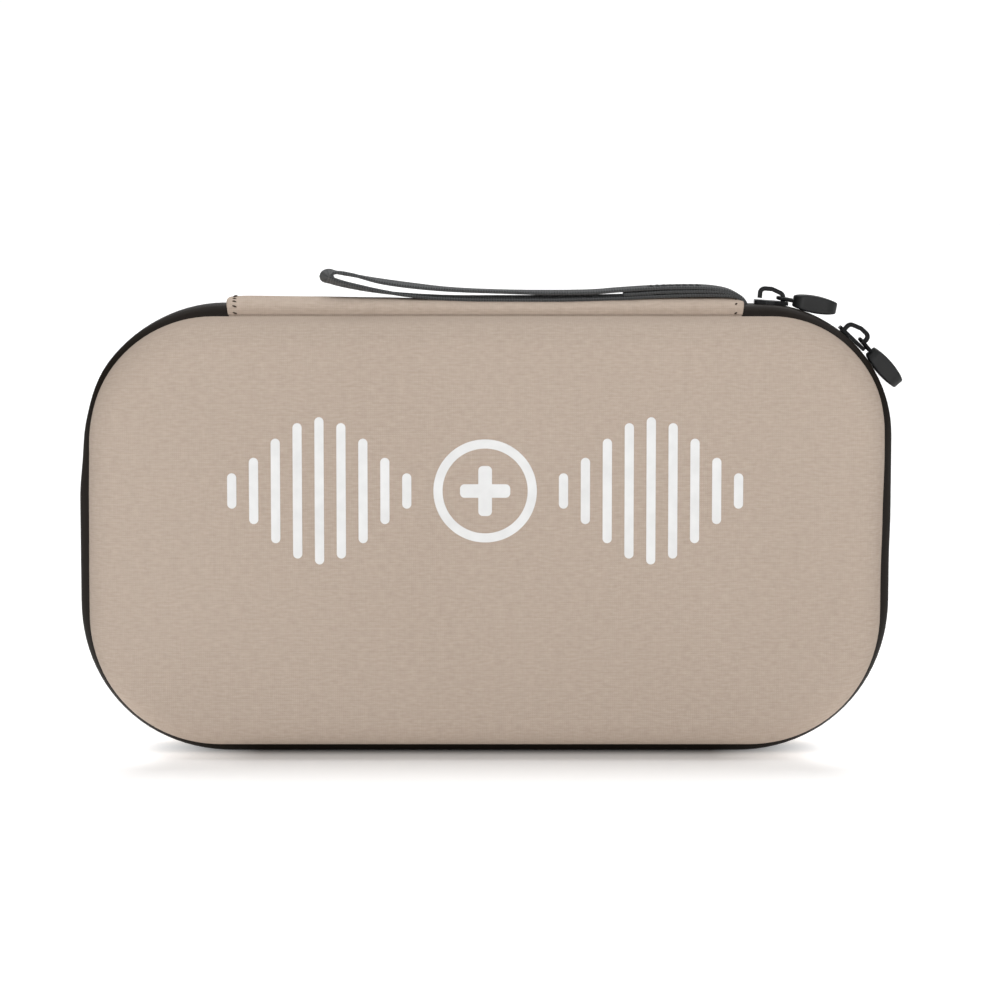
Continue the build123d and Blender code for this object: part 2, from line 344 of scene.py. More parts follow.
def woven_material(name, slot, light, dark, pitch):
    """Plain weave with uneven yarns: slubs along the weft, shorter ones along the warp, soft mottling, and
    painted shade in the weave's hollows.
    """
    shader = Shader(name, slot)
    place = shader.coordinates()
    u, v, _ = shader.split(place)
    weft = shader.noise(shader.coordinates("UV", (300, 1250, 1250)), 1.0)
    warp = shader.noise(shader.coordinates("UV", (1150, 340, 340)), 1.0)
    drift = shader.noise(place, 7.0)
    over = shader.wave(shader.total((u, 1), (warp, pitch * 0.5)), pitch)
    under = shader.wave(shader.total((v, 1), (weft, pitch * 0.5)), pitch)
    checks = shader.math("MULTIPLY", over, under)
    yarn = shader.total((weft, 0.52), (warp, 0.20))
    # The checks term lightens the yarns' crossings and darkens the hollows between them in the colour:
    # painted shade in the weave.
    tone = shader.total((yarn, 1), (drift, 0.22), (checks, 0.16))
    colour = shader.blend(shader.remap(tone, 0.32, 0.78, 0.0, 1.0), dark, light)
    shader.set(Base_Color=colour, Roughness=0.9, Specular_IOR_Level=0.05,
               Normal=shader.bump(shader.total((checks, 1), (yarn, 1.1)), 0.1 * MM, 0.5))
    return shader.material


def knit_material(name, slot, light, dark, pitch, source="UV"):
    """Brushed knit: rows of small loops under a short nap."""
    shader = Shader(name, slot)
    place = shader.coordinates(source)
    u, v, _ = shader.split(place)
    nap = shader.noise(place, 1500.0, 3.0)
    patches = shader.noise(place, 40.0, 3.0)
    columns = shader.wave(u, pitch)
    rows = shader.wave(shader.total((v, 1), (columns, pitch * 0.6)), pitch * 0.8)
    mixed = shader.total((shader.math("MULTIPLY", rows, columns), 0.45), (nap, 0.40), (patches, 0.25))
    shader.set(Base_Color=shader.blend(mixed, dark, light), Roughness=0.95, Sheen_Weight=0.25,
               Sheen_Roughness=0.55, Specular_IOR_Level=0.1, Normal=shader.bump(mixed, 0.18 * MM, 0.7))
    return shader.material


def ribbed_material(name, slot, light, dark, rib, yarn, depth=0.14 * MM):
    """Ribbon, elastic or webbing: ribs across its length, split into yarns along it."""
    shader = Shader(name, slot)
    place = shader.coordinates()
    along, across, _ = shader.split(place)
    ribs = shader.wave(along, rib)
    yarns = shader.wave(shader.total((across, 1), (ribs, yarn * 0.35)), yarn)
    mixed = shader.total((ribs, 0.42), (yarns, 0.36), (shader.noise(place, 1800.0), 0.30))
    colour = shader.blend(shader.remap(mixed, 0.15, 0.95, 0.0, 1.0), dark, light)
    shader.set(Base_Color=colour, Roughness=0.75, Sheen_Weight=0.08, Sheen_Roughness=0.5,
               Specular_IOR_Level=0.3, Normal=shader.bump(mixed, depth, 0.8))
    return shader.material


def grained_material(name, slot, colour, worn, scale, roughness, depth=0.04 * MM, specular=0.4):
    """Moulded rubber, plastic, thread or coated metal with a fine grain and slightly uneven gloss."""
    shader = Shader(name, slot)
    place = shader.coordinates("Object")
    patches = shader.noise(place, scale * 0.12, 3.0)
    shader.set(Base_Color=shader.blend(shader.remap(patches, 0.35, 0.75, 0.0, 1.0), colour, worn),
               Roughness=shader.remap(patches, 0.2, 0.8, roughness - 0.06, roughness + 0.10),
               Specular_IOR_Level=specular,
               Normal=shader.bump(shader.noise(place, scale, 3.0), depth, 0.6))
    return shader.material


def twill_material(name, slot, light, dark, pitch):
    """Smooth zipper tape: a tight twill with a dull shine, lighter on its twill lines and in a fine random
    fuzz.
    """
    shader = Shader(name, slot)
    u, v, _ = shader.split(shader.coordinates())
    diagonal = shader.wave(shader.math("ADD", u, v), pitch)
    chain = shader.wave(v, pitch * 1.7)
    fuzz = shader.noise(shader.coordinates("Object"), 700.0)
    mixed = shader.total((diagonal, 0.45), (chain, 0.2), (fuzz, 0.35))
    shader.set(Base_Color=shader.blend(mixed, dark, light), Roughness=0.42, Specular_IOR_Level=0.17,
               Normal=shader.bump(mixed, 0.06 * MM, 0.6))
    return shader.material


COVER = woven_material("cover_fabric", "woven_cover", (0.515, 0.428, 0.360), (0.400, 0.322, 0.262), 0.65 * MM)
# The spine's fabric is a lighter copy of the cover's, about an eighth brighter: painted light for the spine's
# upward-facing top.
SPINE_COVER_PAINTED_LIGHT = woven_material("spine_cover_painted_light", "woven_cover", (0.580, 0.483, 0.406),
                             (0.450, 0.363, 0.296), 0.65 * MM)
LINING = knit_material("lining_knit", "lining_fabric", (0.020, 0.020, 0.021), (0.008, 0.008, 0.009), 1.1 * MM)
SPINE_LINING = knit_material("spine_knit", "lining_fabric", (0.020, 0.020, 0.021), (0.008, 0.008, 0.009),
                             1.1 * MM, "Object")
TAPE = twill_material("tape_twill", "zipper_tape", (0.016, 0.0112, 0.0078), (0.007, 0.005, 0.0035), 0.5 * MM)
COIL = grained_material("coil_nylon", "zipper_coil", (0.010, 0.010, 0.010), (0.016, 0.016, 0.016), 900, 0.3)
BINDING = ribbed_material("binding_ribbon", "binding_tape", (0.024, 0.024, 0.025), (0.008, 0.008, 0.008),
                          0.9 * MM, 0.5 * MM)
WEBBING = ribbed_material("strap_weave", "strap_webbing", (0.100, 0.104, 0.107), (0.026, 0.027, 0.028),
                          0.9 * MM, 0.8 * MM, depth=0.20 * MM)
PADDING = grained_material("spine_foam", "soft_padding", (0.45, 0.44, 0.42), (0.5, 0.49, 0.47), 1500, 0.9)
FOAM = grained_material("eva_foam", "moulded_foam", (0.014, 0.014, 0.015), (0.02, 0.02, 0.021), 1800, 0.8)
NET_YARN = grained_material("net_yarn", "pocket_mesh", (0.014, 0.014, 0.015), (0.024, 0.024, 0.024),
                            2500, 0.7)
ELASTIC = ribbed_material("hem_elastic", "pocket_elastic", (0.046, 0.046, 0.048), (0.012, 0.012, 0.013),
                          1.5 * MM, 0.9 * MM, depth=0.25 * MM)
HOLDER = ribbed_material("holding_elastic", "elastic_band", (0.050, 0.050, 0.052), (0.013, 0.013, 0.014),
                         1.7 * MM, 1.0 * MM, depth=0.28 * MM)
INK = grained_material("screen_ink", "print_ink", (0.76, 0.76, 0.755), (0.70, 0.70, 0.695), 1500, 0.6,
                       depth=0.05 * MM, specular=0.3)
METAL = grained_material("coated_metal", "slider_metal", (0.0025, 0.0025, 0.003), (0.005, 0.005, 0.006),
                         600, 0.32, depth=0.02 * MM, specular=0.16)
RUBBER = grained_material("moulded_rubber", "pull_rubber", (0.009, 0.0093, 0.0095), (0.015, 0.0155, 0.016),
                          1000, 0.50, depth=0.05 * MM, specular=0.30)
THREAD_BROWN = grained_material("brown_thread", "woven_cover", (0.050, 0.036, 0.026), (0.085, 0.064, 0.050),
                                2500, 0.7, specular=0.2)
THREAD_DARK = grained_material("dark_thread", "strap_webbing", (0.030, 0.031, 0.032), (0.060, 0.062, 0.064),
                               2500, 0.6, specular=0.3)


# ---------------------------------------------------------------- layers of the two halves
WALL_SLOPE = math.tan(WALL_DRAFT)
ROUND_DEPTH = FACE_DEPTH - EDGE_ROUND
ROUND_INSET = EDGE_ROUND / math.cos(WALL_DRAFT) + (ROUND_DEPTH - RIM_DEPTH) * WALL_SLOPE
ROUND_STEPS = 12
FACE_STEPS = 18
FACE_MIDDLE = 0.04            # share of the face's half width at which its rows of points start
RIM_ROUND = 0.3 * MM
WELD = 0.0001 * MM


def bowl(level):
    """Profile (inset, depth) of a half's wall at a level under its skin, from the face to the rim."""
    radius = EDGE_ROUND - level
    profile = []
    for step in range(ROUND_STEPS + 1):
        angle = math.pi / 2 - (math.pi / 2 - WALL_DRAFT) * step / ROUND_STEPS
        profile.append((ROUND_INSET - radius * math.cos(angle), ROUND_DEPTH + radius * math.sin(angle)))
    foot_inset, foot = profile[-1]
    for share in (0.33, 0.66, 1.0):
        rise = share * (RIM_DEPTH - foot)
        profile.append((foot_inset + rise * WALL_SLOPE, foot + rise))
    return profile


def rim_turn(outer, inner):
    """Rounded edge between two walls' ends at the rim."""
    middle, radius = (outer[0] + inner[0]) / 2, (inner[0] - outer[0]) / 2
    turn = [math.radians(angle) for angle in (30, 60, 90, 120, 150)]
    return [(middle - radius * math.cos(a), outer[1] - radius * math.sin(a)) for a in turn]


def face_rows(side, level):
    """Rows of points over a half's crowned face at a level, from its middle to its edge."""
    edge = rim_outline(ROUND_INSET)
    middle_z = (cover_low.z + cover_high.z) / 2
    reach = cover_high.x - (cover_high.z - cover_low.z) / 2
    rows, maps = [], []
    for step in range(FACE_STEPS):
        share = FACE_MIDDLE + (1 - FACE_MIDDLE) * step / FACE_STEPS
        flat = []
        for x, z, _, _ in edge:
            middle_x = max(-reach, min(reach, x))
            flat.append((middle_x + share * (x - middle_x), middle_z + share * (z - middle_z)))
        maps.append(flat)
        rows.append([Vector((x, side * (crowned_depth(share) - level), z)) for x, z in flat])
    return rows, maps


def crowned_depth(share):
    """Depth of the skin at a share of the way from the face's middle to its edge."""
    return FACE_DEPTH + FACE_CROWN * (1 - share ** 2) ** 2


def make_layer(name, side, outer_level, inner_level, material, body, node):
    """One layer of a half: outer skin, turned rim, inner skin."""
    edge = rim_outline(ROUND_INSET)
    outer, inner = bowl(outer_level), bowl(inner_level)[::-1]
    rows, maps = face_rows(side, outer_level)
    inner_rows, inner_maps = face_rows(side, inner_level)
    ends = [(inset, depth + RIM_ROUND) for inset, depth in (outer[-1], inner[0])]
    profile = [*outer[:-1], ends[0], *rim_turn(outer[-1], inner[0]), ends[1], *inner[1:]]
    for (inset, depth), run in zip(profile, path_lengths(profile)):
        rows.append([Vector((x, side * depth, z)) for x, z, _, _ in rim_outline(inset)])
        maps.append([(x + run * nx, z + run * nz) for x, z, nx, nz in edge])
    rows += inner_rows[::-1]
    maps += inner_maps[::-1]
    piece = lattice(name, rows, wrap=True, caps=True, uv=lambda i, j: maps[i][j % len(edge)])
    return finish_piece(piece, material, body, node)


def make_binding(name, side, body, node):
    """Folded ribbon over the raw rim, down the inner wall."""
    inner, wall = bowl(WALL_STACK)[-1][0], BINDING_WALL
    top, foot = RIM_DEPTH - wall, RIM_DEPTH + BINDING_LAP
    inner_foot = inner + BINDING_LAP * WALL_SLOPE
    profile = [(BINDING_MARGIN, RIM_DEPTH + 0.1 * MM), (BINDING_MARGIN - 0.1 * MM, RIM_DEPTH - wall / 2),
               (BINDING_MARGIN + 0.3 * MM, top), (BINDING_MARGIN + 2 * MM, top - 0.1 * MM),
               (inner - 1.5 * MM, top - 0.1 * MM), (inner - 0.2 * MM, top + 0.05 * MM),
               (inner + 0.4 * MM, top + 0.3 * MM), (inner + wall, top + 1 * MM)]
    for share in (0.25, 0.5, 0.75, 0.97):
        lap = share * BINDING_LAP
        profile.append((inner + wall + lap * WALL_SLOPE, RIM_DEPTH + lap))
    profile += [(inner_foot + 0.7 * wall, foot), (inner_foot - 0.1 * MM, foot),
                (inner - 0.1 * MM, RIM_DEPTH + 0.2 * MM)]
    edge = rim_outline(0)
    run, arc = path_lengths(profile + profile[:1]), path_lengths(edge + edge[:1])
    rings = [rim_outline(inset) for inset, _ in profile]
    rows = [[Vector((ring[k][0], side * depth, ring[k][1])) for ring, (_, depth) in zip(rings, profile)]
            for k in (*range(len(edge)), 0)]
    piece = lattice(name, rows, wrap=True, uv=lambda i, j: (arc[i], run[j]))
    rework(piece, lambda work: bmesh.ops.remove_doubles(work, verts=work.verts, dist=WELD))
    return finish_piece(piece, BINDING, body, node)


# ---------------------------------------------------------------- zipper tapes and coils
NOTCH = SPINE_HALF + TAPE_GAP
# outer skin of a tape's section, in millimetres: inset, depth and the share of the way in to the rim
TAPE_SKIN = [(0.85, 0.75, 0.0), (0.45, 0.77, 0.0), (0.16, 0.92, 0.0), (0.03, 1.2, 0.0), (-0.04, 2.2, 0.0),
             (-0.05, 3.4, 0.0), (-0.02, 4.5, 0.0), (0.04, 5.3, 0.0), (0.10, 5.75, 0.01), (0.26, 5.95, 0.02),
             (0.12, 6.2, 0.02), (0.02, 6.5, 0.05), (-0.05, 6.9, 0.12), (-0.08, 7.4, 0.26), (-0.06, 7.9, 0.46),
             (-0.02, 8.35, 0.68), (0.10, 8.7, 0.88), (0.30, 9.0, 1.0)]


def make_tape(name, side, body, node):
    """Tape along the open path round the case: a flat with a rolled edge at the slit and a lip to the rim."""
    band, rim = outline(0, 0, NOTCH), rim_outline(0, NOTCH)
    skin = [(inset * MM, depth * MM, share) for inset, depth, share in TAPE_SKIN]
    section = skin + [(inset + TAPE_WALL * 0.9, max(depth, TAPE_EDGE), share)
                      for inset, depth, share in reversed(skin[2:])]
    rows = []
    for (bx, bz, nx, nz), (rx, rz, _, _) in zip(band, rim):
        row = []
        for inset, depth, share in section:
            x, z = bx + share * (rx - bx), bz + share * (rz - bz)
            row.append(Vector((x - inset * nx, side * depth, z - inset * nz)))
        rows.append(row)
    for row in (rows[0], rows[-1]):
        for point in row:
            point.x = spine_x(point.x, point.z)
    arc = path_lengths(band)
    across = path_lengths(section)
    across.append(across[-1] + TAPE_WALL)
    piece = lattice(name, rows, wrap=True, caps=True, uv=lambda i, j: (arc[i], across[j]))
    return finish_piece(piece, TAPE, body, node)


COIL_PITCH = 1.3 * MM
COIL_WIRE = 0.27 * MM
COIL_INSET = 1.75 * MM
COIL_DEPTH = 1.3 * MM
COIL_HALF_HEIGHT = 0.45 * MM
COIL_HALF_WIDTH = 0.9 * MM
COIL_TURN_STEPS, COIL_SIDES = 12, 5
PARTED_TO = 83.7              # degrees clockwise from the top of the upper right corner


def tube(centres, radii, sides):
    """Rows of a tube's points round a line, turned as little as possible from one to the next."""
    rows, across = [], None
    for k, (centre, radius) in enumerate(zip(centres, radii)):
        ahead = (centres[min(k + 1, len(centres) - 1)] - centres[max(k - 1, 0)]).normalized()
        if across is None:
            across = ahead.orthogonal().normalized()
        across = (across - ahead * across.dot(ahead)).normalized()
        up = ahead.cross(across)
        rows.append([centre + radius * (math.cos(2 * math.pi * j / sides) * across
                                        + math.sin(2 * math.pi * j / sides) * up) for j in range(sides)])
    return rows


def make_coil(name, side, body, node):
    """Nylon coil: one wire wound round a line just inside the tape, from the open stretch to the spine."""
    path = outline(COIL_INSET, 0, NOTCH)
    corner_x, corner_z = BAND_HALF - CORNER_RIGHT, BAND_TOP - CORNER_RIGHT
    start = next(k for k, (x, z, _, _) in enumerate(path)
                 if x > corner_x and math.degrees(math.atan2(x - corner_x, z - corner_z)) > PARTED_TO)
    path = path[start:]
    run = path_lengths(path)
    count = int((run[-1] - 2 * COIL_PITCH) / COIL_PITCH) * COIL_TURN_STEPS
    centres, k = [], 0
    for step in range(count):
        length = COIL_PITCH + step * COIL_PITCH / COIL_TURN_STEPS
        while run[k + 1] < length:
            k += 1
        share = (length - run[k]) / (run[k + 1] - run[k])
        x, z, nx, nz = (a + share * (b - a) for a, b in zip(path[k], path[k + 1]))
        phase = 2 * math.pi * step / COIL_TURN_STEPS + (math.pi if side > 0 else 0)
        rise, deep = COIL_HALF_HEIGHT * math.cos(phase), COIL_DEPTH + COIL_HALF_WIDTH * math.sin(phase)
        centres.append(Vector((x + rise * nx, side * deep, z + rise * nz)))
    piece = lattice(name, tube(centres, [COIL_WIRE] * len(centres), COIL_SIDES), wrap=True, caps=True)
    return finish_piece(piece, COIL, body, node)


# ---------------------------------------------------------------- spine
# worn crest: x and how far it stands over the solid's, in millimetres
CREST = [(-89.5, 0.75), (-82.0, 1.05), (-60.0, 0.80), (-36.0, 0.50), (-20.0, 0.15), (0.0, -0.30),
         (25.0, -0.40), (46.0, 0.10), (62.0, 0.55), (80.0, 0.65), (89.5, 0.30)]
SPINE_SLANT = 0.9 * MM
SPINE_TUCK = 5 * MM
SPINE_ROLL, SPINE_ROLL_DROP = 2.2 * MM, 0.9 * MM      # the crest rolls down over its ends: length, drop
ARCH_SIDE_POWER, ARCH_RISE_POWER = 0.86, 0.72
END_STEP, END_STEPS, END_RUN, MIDDLE_SPANS = 0.3 * MM, 8, 2.6 * MM, 110


def spine_section(x, inset, count=32):
    """Arch over the folds at x, from the front fold over the crest to the rear one."""
    half = spine_high.y - inset
    rise = spine_high.z - spine_low.z - inset + eased(CREST, x / MM) * MM
    end = min(1.0, (SPINE_HALF - abs(x)) / SPINE_ROLL)
    rise -= SPINE_ROLL_DROP * (1 - math.sqrt(max(0.0, 1 - (1 - end) ** 2)))
    points = []
    for step in range(count + 1):
        angle = math.pi * step / count
        side = abs(math.cos(angle)) ** ARCH_SIDE_POWER * (1 if math.cos(angle) > 0 else -1)
        points.append((-half * side, spine_low.z + rise * math.sin(angle) ** ARCH_RISE_POWER))
    return points


def spine_x(x, z):
    """The ends slant in towards the folds, where the fabric is tucked under."""
    near = max(0.0, 1 - (SPINE_HALF - abs(x)) / SPINE_TUCK)
    low = max(0.0, 1 - (z - spine_low.z) / (spine_high.z - spine_low.z))
    return x - math.copysign(SPINE_SLANT * near * low, x)


def make_spine():
    ends = [k * END_STEP for k in range(END_STEPS)]
    middle_half = SPINE_HALF - END_RUN
    stations = [end - SPINE_HALF for end in ends]
    stations += [middle_half * (2 * k / MIDDLE_SPANS - 1) for k in range(MIDDLE_SPANS + 1)]
    stations += [SPINE_HALF - end for end in reversed(ends)]
    rows = []
    for x in stations:
        ring = spine_section(x, 0.0) + spine_section(x, COVER_WALL)[::-1]
        rows.append([Vector((spine_x(x, z), y, z)) for y, z in ring])
    across = path_lengths(rows[len(rows) // 2], 3)
    across.append(across[-1] + COVER_WALL)
    piece = lattice("spine_fabric", rows, wrap=True, caps=True, uv=lambda i, j: (stations[i], across[j]))
    # The spine wears the cover fabric's lighter copy: painted light.
    return finish_piece(piece, SPINE_COVER_PAINTED_LIGHT, "spine", "spine_cover")


# outer side of the fabric pressed into a fold, in millimetres: depth and height over the fold
CREASE = [(7.7, 1.10), (8.15, 0.75), (8.55, 0.20), (8.9, -0.10), (9.3, -0.25), (9.9, -0.32)]
CREASE_WALL = 0.45
CREASE_END, CREASE_SPANS = 1.2 * MM, 60


def make_crease(name, side):
    """Fabric pressed into the fold between the spine and a half."""
    section = CREASE + [(y, z - CREASE_WALL) for y, z in reversed(CREASE)]
    reach = SPINE_HALF - CREASE_END
    xs = [reach * (2 * k / CREASE_SPANS - 1) for k in range(CREASE_SPANS + 1)]
    rows = [[Vector((x, side * y * MM, FOLD_HEIGHT + z * MM)) for y, z in section] for x in xs]
    piece = lattice(name, rows, wrap=True, caps=True,
                    uv=lambda i, j: (xs[i], section[j % len(section)][0] * MM))
    clothe(piece, COVER)
    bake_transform(piece)
    return piece


# ---------------------------------------------------------------- stitches
STITCH_PITCH = 2.2 * MM
THREAD_SIDES = THREAD_RINGS = 6
# seams over the spine's ends: side, tilt of the stitches in radians, their pitch and their length
SPINE_SEAMS = ((-1, 1.95, 2.15 * MM, 1.5 * MM), (1, 0.9, 3.3 * MM, 0.9 * MM))
SPINE_SEAM_INSET, SPINE_SEAM_START = 2.9 * MM, 0.7 * MM


def stitch_shares(length):
    """Where each stitch of a seam starts and ends, as shares of the seam's length."""
    count = round(length / STITCH_PITCH)
    return [((k + 0.16) / count, (k + 0.84) / count) for k in range(count)]


def make_stitches(name, marks, thickness, material, body):
    """Short threads, each from one point to another over the surface: marks are (start, end, out)."""
    vertices, faces = [], []
    sides, rings = THREAD_SIDES, THREAD_RINGS
    for start, end, out in marks:
        centres, sizes = [], []
        for k in range(rings + 1):
            share = k / rings
            arch = math.sin(math.pi * share)
            centres.append(start.lerp(end, share) + out * thickness * (0.45 * arch - 0.25))
            sizes.append(thickness / 2 * (0.55 + 0.45 * arch))
        first = len(vertices)
        for row in tube(centres, sizes, sides):
            vertices += row
        for k in range(rings):
            for j in range(sides):
                a, b = first + k * sides + j, first + k * sides + (j + 1) % sides
                faces.append((a, b, b + sides, a + sides))
        faces.append(tuple(first + j for j in range(sides - 1, -1, -1)))
        faces.append(tuple(first + rings * sides + j for j in range(sides)))
    return finish_piece(add_mesh(name, vertices, faces), material, body)


def make_spine_stitches():
    """A seam over the arch at each end of the spine."""
    marks = []
    for sign, tilt, pitch, length in SPINE_SEAMS:
        x = sign * (SPINE_HALF - SPINE_SEAM_INSET)
        arch = [Vector((spine_x(x, z), y, z)) for y, z in spine_section(x, 0.0, 96)]
        run = path_lengths(arch, 3)
        at = SPINE_SEAM_START
        while at < run[-1] - length / 2:
            k = max(j for j in range(len(run) - 1) if run[j] <= at)
            ahead = (arch[k + 1] - arch[k]).normalized()
            out = Vector((1, 0, 0)).cross(ahead)
            if out.z < 0:
                out = -out
            way = (ahead * math.cos(tilt) + Vector((1, 0, 0)) * math.sin(tilt)) * length / 2
            marks.append((arch[k] - way, arch[k] + way, out))
            at += pitch
    return make_stitches("spine_seams", marks, 0.62 * MM, THREAD_BROWN, "spine")


# ---------------------------------------------------------------- wrist strap
STRAP_WALL = 1.2 * MM
STRAP_WIDTH = 10.0 * MM
STITCH_BOX = (56 * MM, 74 * MM)
STITCH_MARGIN = 1.6 * MM
SELVEDGE = 0.10               # how much thicker a webbing's edges are than its middle, as a share
ROUTE_STEPS = 10
# route of the webbing as x, z, yaw and roll, in millimetres and degrees, from the seam along the lower
# strand and back along the upper one
STRAP = [(88.6, 153.3, 0, 0), (88.3, 155.2, 0, 0), (86.2, 157.4, 0, 0), (80.0, 158.0, 0, 1),
         (70.0, 158.0, 0, 1), (58.0, 157.65, 0, 2), (46.0, 157.2, 0, 4), (26.0, 156.75, 0, 5),
         (5.0, 156.7, 0, 5), (-12.0, 156.9, 0, 3), (-26.0, 157.8, 2, 0), (-36.0, 159.1, 6, -4),
         (-45.0, 160.8, 15, -6), (-51.5, 162.4, 25, -4), (-54.6, 163.9, 30, 0), (-52.6, 165.6, 28, 0),
         (-46.5, 164.9, 20, 0), (-37.0, 162.8, 9, 4), (-26.0, 161.2, 3, 4), (-12.0, 159.8, 0, 1),
         (5.0, 159.1, 0, 0), (22.0, 158.75, 0, 2), (36.0, 158.95, 0, 2), (46.0, 159.7, 0, 2),
         (56.0, 160.35, 0, 2), (66.0, 160.7, 0, 2), (76.0, 160.6, 0, 2), (83.0, 159.6, 0, 1),
         (87.3, 157.6, 0, 0), (89.1, 155.8, 0, 0), (89.5, 154.4, 0, 0), (89.5, 153.3, 0, 0)]
# the webbing's folded end, sewn between the two strands
STRAP_FILL = [(89.0, 154.3, 0, 0), (87.0, 157.2, 0, 0), (82.0, 159.0, 0, 1), (74.0, 159.35, 0, 1),
              (62.0, 159.15, 0, 1), (52.0, 158.6, 0, 2), (47.5, 158.35, 0, 2)]


def curve_through(points, steps):
    """Smooth curve through points of any size, as a Catmull-Rom spline with even steps."""
    line = []
    padded = [points[0], *points, points[-1]]
    for a, b, c, d in zip(padded, padded[1:], padded[2:], padded[3:]):
        for step in range(steps):
            t = step / steps
            line.append(tuple(0.5 * (2 * q + (r - p) * t + (2 * p - 5 * q + 4 * r - s) * t * t
                                     + (3 * q - p - 3 * r + s) * t ** 3) for p, q, r, s in zip(a, b, c, d)))
    line.append(tuple(points[-1]))
    return line


def webbing_section(width, wall):
    """Section of a webbing with rounded edges and slightly thicker selvedges, as (across, through) pairs."""
    radius = wall / 2
    flat = width / 2 - radius
    steps, rounds = 16, 5
    face = []
    for k in range(steps):
        across = -flat + 2 * flat * k / steps
        face.append((across, radius * (1 - SELVEDGE * (1 - (across / flat) ** 6))))
    edge = [(flat + radius * math.sin(math.pi * k / rounds), radius * math.cos(math.pi * k / rounds))
            for k in range(rounds)]
    return face + edge + [(-a, -t) for a, t in face] + [(-a, -t) for a, t in edge]


def strap_line(route):
    return curve_through([(x * MM, z * MM, yaw, roll) for x, z, yaw, roll in route], ROUTE_STEPS)


def strap_ribbon(name, route):
    line = strap_line(route)
    section = webbing_section(STRAP_WIDTH, STRAP_WALL)
    rows = []
    for i, (x, z, yaw, roll) in enumerate(line):
        before, after = line[max(0, i - 1)], line[min(len(line) - 1, i + 1)]
        tangent = Vector((after[0] - before[0], 0, after[1] - before[1])).normalized()
        yaw, roll = math.radians(yaw), math.radians(roll)
        width = Vector((-math.sin(yaw), math.cos(yaw) * math.cos(roll), math.cos(yaw) * math.sin(roll)))
        width = (width - tangent * width.dot(tangent)).normalized()
        through = tangent.cross(width)
        rows.append([Vector((x, 0, z)) + across * width + deep * through for across, deep in section])
    along, across = path_lengths(line), path_lengths(section)
    across.append(across[-1] + STRAP_WALL / 4)
    piece = lattice(name, rows, wrap=True, caps=True, uv=lambda i, j: (along[i], across[j]))
    clothe(piece, WEBBING)
    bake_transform(piece)
    return piece


def make_strap():
    loop = strap_ribbon("strap_webbing_loop", STRAP)
    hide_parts("wrist_strap_loop", "wrist_strap_tail", "strap_anchor_tab")
    strap_ribbon("strap_webbing_fold", STRAP_FILL)


def make_strap_stitches():
    """Box of stitches that holds the strap's strands together, seen on the upper one."""
    low, high = STITCH_BOX
    half = STRAP_WIDTH / 2 - STITCH_MARGIN
    line = [point[:2] for point in strap_line(STRAP)]
    upper = [point for point in line[len(line) // 2:] if low - 1 * MM < point[0] < high + 1 * MM]

    def on_top(x, y):
        near = min(range(1, len(upper)), key=lambda k: abs(upper[k][0] - x))
        (x0, z0), (x1, z1) = upper[near - 1], upper[near]
        along = Vector((x1 - x0, 0, z1 - z0)).normalized()
        out = Vector((-along.z, 0, along.x))
        return Vector((x, y, z0 + (x - x0) * (z1 - z0) / (x1 - x0))) + out * STRAP_WALL * 0.46, out

    lines = [((low, -half), (high, -half)), ((low, half), (high, half)), ((low, -half), (low, half)),
             ((high, -half), (high, half)), ((low, -half), (high, half)), ((low, half), (high, -half))]
    marks = []
    for start, end in lines:
        for shares in stitch_shares(math.dist(start, end)):
            (first, out), (second, _) = (on_top(*(a + share * (b - a) for a, b in zip(start, end)))
                                         for share in shares)
            marks.append((first, second, out))
    return make_stitches("strap_stitches", marks, 0.5 * MM, THREAD_DARK, "wrist_strap")


# ---------------------------------------------------------------- inside: net pocket and holding band
net_low, net_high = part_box("mesh_pocket_net")
hem_low, hem_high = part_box("mesh_pocket_hem")
holder_low, holder_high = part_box("holding_band")
patch_low, patch_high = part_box("holding_band_patches")
POCKET_INSET = WALL_STACK + BINDING_WALL + 0.25 * MM
NET_CELL = 1.9 * MM
YARN = 0.55 * MM
NET_MARGIN = 0.6 * MM
# section of the ribbon sewn round the net, in millimetres: inset and depth
RIBBON = [(0, 0.08), (0.15, 0.0), (2.2, -0.04), (4.3, 0.0), (4.5, 0.1), (4.5, 0.5), (4.3, 0.6), (0.15, 0.6),
          (0, 0.52)]
HEM_STEPS = 260
HEM_SHARES = (0.0, 0.02, 0.08, 0.2, 0.35, 0.5, 0.65, 0.8, 0.92, 0.98, 1.0)
HEM_SEAMS = (1.6 * MM, 3.0 * MM)
HOLDER_WALL, HOLDER_STEPS = 1 * MM, 120
PATCH_SEAM_INSET, PATCH_SEAM_CORNER = 1.6 * MM, 0.8 * MM
# a patch from its edge to its middle: inset in millimetres and share of its height
PATCH_LEVELS = [(0.0, 0.0), (0.0, 0.55), (0.10, 0.8), (0.3, 0.95), (0.7, 1.0), (2.0, 1.0), (4.0, 0.97),
                (6.2, 0.96)]
GATHER_PITCH, GATHER_DEPTH = 5.2 * MM, 0.28 * MM
PATCH_LENGTH = patch_high.x - holder_high.x
PATCH_CORNER = 2.2 * MM


def reach_at(ring, z):
    """Left and right x where a closed ring crosses a height."""
    crossings = []
    for (x0, z0, _, _), (x1, z1, _, _) in zip(ring, ring[1:] + ring[:1]):
        if z0 != z1 and (z0 - z) * (z1 - z) <= 0:
            crossings.append(x0 + (z - z0) / (z1 - z0) * (x1 - x0))
    return min(crossings), max(crossings)


